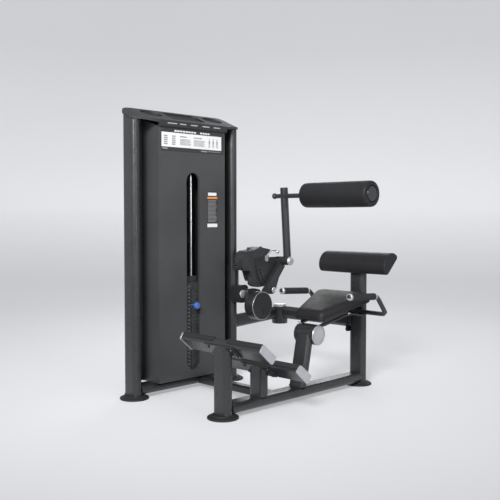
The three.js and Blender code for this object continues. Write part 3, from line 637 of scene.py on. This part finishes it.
def build_lumbar_pad():
    outline = rounded_outline(LUMBAR_CORNERS, 11.0, 4, 12.0)
    middle = sum(outline, Vector((0, 0))) / len(outline)
    left = [(LANE_X - 228 + x, scale) for x, scale in LUMBAR_SECTIONS]
    right = [(LANE_X + 228 - x, scale) for x, scale in reversed(LUMBAR_SECTIONS[:-1])]
    rings = []
    for x, scale in left + right:
        ring = [middle + (p - middle) * scale for p in outline]
        rings.append([at(x, p.x, p.y) for p in ring])
    rings = [[p + Vector((0, soft_wave(p), soft_wave(p, scale=31.0))) for p in ring] for ring in rings]
    pad = loft("lumbar_upholstery", rings, VINYL, 1)
    declare_pad(pad, "lumbar_pad", "frame")
    for x in (LANE_X - 228 + 7.2, LANE_X + 228 - 7.2):
        seam = [middle + (p - middle) * 0.986 for p in outline]
        stitches("lumbar_stitches", [at(x, p.x, p.y) for p in seam], "frame")


ROLLER_X = (394, 847)
ROLLER_LEFT = [
    (14.3, 0.8), (30, 0.3), (46, 0.3), (56, 0.8), (63, 2.6), (66.6, 5.6), (68.3, 9.4), (67.2, 11.0),
    (68.6, 12.6), (69.2, 22), (69.4, 80), (69.5, 150),
]
ROLLER_RIGHT = [
    (69.5, 226), (69.4, 80), (69.2, 20), (68.5, 10.6), (67.0, 9.2), (67.9, 7.4), (66.2, 4.0),
    (63, 1.2), (58, 0.2), (50, 0.0), (46, 0.5), (44.4, 2.2), (44.2, 8.0), (43.0, 9.4), (30, 9.6),
    (14.3, 9.6),
]


def build_roller_pad():
    profile = [(radius, ROLLER_X[0] + x) for radius, x in ROLLER_LEFT]
    profile += [(radius, ROLLER_X[1] - x) for radius, x in ROLLER_RIGHT]
    rings = []
    for radius, x in profile:
        ring = []
        for k in range(56):
            angle = 2 * math.pi * k / 56
            swell = 1.0 + 0.003 * math.sin(3 * angle + x * 0.02)
            reach = radius * swell
            ring.append(at(x, 892 + reach * math.cos(angle), 1059 + reach * math.sin(angle)))
        rings.append(ring)
    pad = loft("roller_upholstery", rings, VINYL, 1)
    declare_pad(pad, "roller_pad", "roller")
    for x in (ROLLER_X[0] + 11.0, ROLLER_X[1] - 9.2):
        circle = [2 * math.pi * k / 56 for k in range(56)]
        seam = [at(x, 892 + 67.5 * math.cos(a), 1059 + 67.5 * math.sin(a)) for a in circle]
        stitches("roller_stitches", seam, "roller")


# ---------------------------------------------------------------- printed panels and small trim
def panel(x, y_span, z_span, thickness):
    """Low and high corner of a thin upright card that faces +X, standing off the plane at x."""
    low = at(x, y_span[0], z_span[0])
    high = at(x + thickness, y_span[1], z_span[1])
    return low, high


def cards(name, x, spans, thickness, material, body="frame", bevel=0.0):
    made = boxes(name, [panel(x, ys, zs, thickness) for ys, zs in spans], material, bevel)
    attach(made, body)
    return made


def bars(y0, y1, z0, z1, rows, fill=0.5, ragged=0.25):
    """Rows of short lines that fill a rectangle, like a block of unreadable print."""
    spans = []
    pitch = (z1 - z0) / rows
    for row in range(rows):
        low = z0 + row * pitch
        end = y1 - random.random() * ragged * (y1 - y0)
        spans.append(((y0, end), (low, low + pitch * fill)))
    return spans


def build_placard_print():
    face = 73.6
    cards("placard_white", face, [((128, 546), (1304, 1379))], 0.5, WHITE)
    heading = [((214 + 19 * i, 229 + 19 * i), (1385, 1393)) for i in range(8)]
    heading += [((392 + 18 * i, 406 + 18 * i), (1385, 1393)) for i in range(4)]
    cards("placard_heading", face, heading, 0.4, WHITE)
    footer = [((134, 168), (1292, 1299)), ((398, 440), (1290, 1297)), ((446, 540), (1293, 1296))]
    cards("placard_footer", face, footer, 0.4, GREY_PRINT)
    text = bars(250, 330, 1318, 1352, 6) + bars(345, 425, 1318, 1352, 6)
    text += [((250, 296), (1358, 1364)), ((345, 404), (1358, 1364))]
    text += bars(142, 168, 1316, 1368, 5, 0.62, 0.1) + bars(196, 222, 1316, 1368, 5, 0.62, 0.1)
    for centre in (458, 486, 514):
        text += [((centre - 3, centre + 3), (1356, 1363)), ((centre - 5, centre + 5), (1334, 1353))]
        text += [((centre - 5, centre - 1.5), (1316, 1333)), ((centre + 1.5, centre + 5), (1316, 1333))]
    cards("placard_marks", face + 0.5, text, 0.3, GREY_PRINT)


def build_sticker():
    face = 71.15
    cards("sticker_back", face, [((443, 520), (881, 1079))], 0.4, PLACARD)
    cards("sticker_band", face + 0.4, [((445, 518), (1038, 1049))], 0.3, ORANGE)
    cards("sticker_box", face + 0.4, [((445, 518), (883, 902)), ((450, 512), (1055, 1072))], 0.3, WHITE)
    cards("sticker_lines", face + 0.4, bars(449, 516, 912, 1034, 17, 0.4), 0.3, GREY_PRINT)


def build_stack_marks():
    """One dim mark per plate down the front of the stack."""
    face = 52.1
    resting = [((317, 334), (113 + 20 * i + 7, 113 + 20 * i + 12.5)) for i in range(17)]
    raised = [((317, 334), (453.3 + 20 * i + 7, 453.3 + 20 * i + 12.5)) for i in range(5)]
    cards("resting_marks", face, resting, 0.5, DIM_PRINT)
    cards("raised_marks", face, raised, 0.5, DIM_PRINT, "stack")
    cards("head_mark", face, [((317, 334), (561, 567))], 0.5, DIM_PRINT, "stack")


def build_fascia_marks():
    spans = [(160, 222), (241, 285), (317, 363), (399, 449), (480, 528)]
    cards("fascia_marks", 85.05, [((a, b), (1422, 1428)) for a, b in spans], 0.8, PALE, bevel=0.0003)


def build_bracket_disc():
    profile = [(0.5, 0), (22, 0), (22.5, 1), (22.5, 3), (21, 4), (0.5, 4)]
    disc = turned("bracket_disc", profile, at(108.2, 677, 503), Vector((1, 0, 0)), PALE)
    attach(disc, "frame")


def build_rings():
    """Bright rims on the drum cover and the hub cap, and dark plugs in the grip ends."""
    along = Vector((1, 0, 0))
    plug_profile = [(0.3, 0), (11.5, 0), (12, 0.6), (0.3, 1.2)]
    rim = turned_ring("drum_rim", 75.5, 79.6, 1.6, at(205.0, 739, 437.7), along, SILVER, 56)
    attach(rim, "frame")
    hub = turned_ring("hub_rim", 43.0, 46.5, 1.2, at(675.6, 675, 330), along, SILVER, 48)
    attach(hub, "frame")
    for side in (-1, 1):
        centre = at(LANE_X + side * GRIP_OFFSET, 711.4, 536)
        plug = turned(f"grip_plug_{side + 1}", plug_profile, centre, FORWARD, IRON, 24)
        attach(plug, "frame")


def turned_ring(name, inner, outer, height, centre, axis, material, segments):
    """A flat closed ring about an axis through `centre`."""
    turn = Vector((0, 0, 1)).rotation_difference(axis).to_matrix()
    section = [(inner, 0.0), (outer, 0.0), (outer, height * 0.6)]
    section += [(outer - 0.6, height), (inner + 0.6, height), (inner, height * 0.6)]
    verts = []
    for k in range(segments):
        angle = 2 * math.pi * k / segments
        for radius, along in section:
            point = Vector((radius * math.cos(angle), radius * math.sin(angle), along)) * MM
            verts.append(centre + turn @ point)
    count = len(section)
    faces = []
    for k in range(segments):
        m = (k + 1) % segments
        for j in range(count):
            n = (j + 1) % count
            faces.append((k * count + j, k * count + n, m * count + n, m * count + j))
    ring = finish_mesh(name, verts, faces, material)
    fix_normals(ring.data)
    return ring


def stadium(x, y, wide, deep, z, grow=0.0, turns=10):
    """Points round a flat-oval tube whose long side lies along X."""
    radius = deep / 2 + grow
    run = (wide - deep) / 2
    points = []
    for k in range(turns + 1):
        angle = -math.pi / 2 + math.pi * k / turns
        points.append(at(x + run + radius * math.cos(angle), y + radius * math.sin(angle), z))
    for k in range(turns + 1):
        angle = math.pi / 2 + math.pi * k / turns
        points.append(at(x - run + radius * math.cos(angle), y + radius * math.sin(angle), z))
    return points


def build_weld_beads():
    """Fillet welds round the foot of every standing tube."""
    places = {
        "front_column": (-10, 0, 104, 54, 21.5),
        "rear_column": (-10, 684, 104, 54, 21.5),
        "front_post": (LANE_X, 60, 100, 50, 21.5),
        "rear_upright": (LANE_X, 1097, 100, 50, 21.5),
        "middle_post": (LANE_X, 300, 100, 50, 70.8),
        "seat_leg": (LANE_X, 587, 100, 50, 70.8),
    }
    for node, (x, y, wide, deep, z) in places.items():
        ring = stadium(x, y, wide, deep, z, 1.0, 14)
        bead = tube_along(f"{node}_weld", ring, 0.0026, COAT, closed=True)
        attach(bead, "frame")


def build_rivets():
    """Round-headed screws at the corners of the placard and the front shroud."""
    head = [(0.4, 2.2), (2.4, 1.9), (4.2, 0.9), (4.6, 0.0), (4.6, -0.3), (0.4, -0.3)]
    places = [(73.9, y, z) for y in (133, 559) for z in (1290, 1394)]
    places += [(71.3, y, z) for y in (124, 560) for z in (96, 700, 1250)]
    for i, (x, y, z) in enumerate(places):
        screw = turned(f"screw_{i}", head, at(x, y, z), Vector((1, 0, 0)), COAT, 18)
        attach(screw, "frame")


# ---------------------------------------------------------------- studio
def build_studio():
    """A pale floor that curves up far away all round, so there is no horizon."""
    profile = [(0.0, 0.0), (3.0, 0.0), (6.0, 0.0), (8.0, 0.0), (9.2, 0.25), (10.2, 0.9), (10.9, 2.0)]
    profile += [(11.2, 3.4), (11.3, 6.0), (11.3, 9.0)]
    segments = 96
    verts = [(0.0, 0.0, 0.0)]
    faces = []
    for radius, height in profile[1:]:
        for k in range(segments):
            angle = 2 * math.pi * k / segments
            verts.append((radius * math.cos(angle), radius * math.sin(angle), height))
    for k in range(segments):
        faces.append((0, 1 + k, 1 + (k + 1) % segments))
    for ring in range(len(profile) - 2):
        base = 1 + ring * segments
        for k in range(segments):
            m = (k + 1) % segments
            faces.append((base + k, base + segments + k, base + segments + m, base + m))
    floor = finish_mesh("studio_floor", verts, faces, PAPER)
    fix_normals(floor.data)


def area_light(name, place, target, size, power, spread=180.0):
    data = bpy.data.lights.new(name, "AREA")
    data.shape = "RECTANGLE"
    data.size, data.size_y = size
    data.energy = power
    data.spread = math.radians(spread)
    light = bpy.data.objects.new(name, data)
    light.location = place
    aim = Vector(target) - Vector(place)
    light.rotation_euler = aim.to_track_quat("-Z", "Y").to_euler()
    bpy.context.scene.collection.objects.link(light)


def build_lights():
    world = bpy.data.worlds.new("studio")
    world.use_nodes = True
    background = world.node_tree.nodes["Background"]
    background.inputs["Color"].default_value = (0.9, 0.92, 0.95, 1.0)
    background.inputs["Strength"].default_value = 0.35
    bpy.context.scene.world = world
    area_light("key", (2.5, -4.2, 3.3), (-0.3, -0.2, 1.4), (1.5, 1.2), 48.0, 55.0)
    area_light("right_strip", (4.6, -0.9, 1.9), (0.0, 0.0, 0.8), (0.35, 2.6), 9.0, 90.0)
    area_light("floor_wash", (0.0, 0.0, 5.4), (0.0, 0.0, 0.0), (5.0, 5.0), 36.0)
    area_light("rear", (-3.2, 4.2, 2.8), (0.0, 0.2, 0.9), (2.0, 1.6), 12.0, 90.0)


def build_camera():
    data = bpy.data.cameras.new("camera")
    data.lens = 54.9
    data.sensor_width = 36.0
    data.clip_end = 60.0
    camera = bpy.data.objects.new("camera", data)
    camera.location = (2.7829, -2.8894, 0.9425)
    camera.rotation_euler = (math.radians(90.0 - 2.53), 0.0, math.radians(45.0))
    bpy.context.scene.collection.objects.link(camera)
    bpy.context.scene.camera = camera


dress_nodes()
build_seat_cushion()
build_lumbar_pad()
build_roller_pad()
build_placard_print()
build_sticker()
build_stack_marks()
build_fascia_marks()
build_bracket_disc()
build_rings()
build_weld_beads()
build_rivets()
build_studio()
build_lights()
build_camera()
bpy.context.scene.view_settings.view_transform = "Standard"
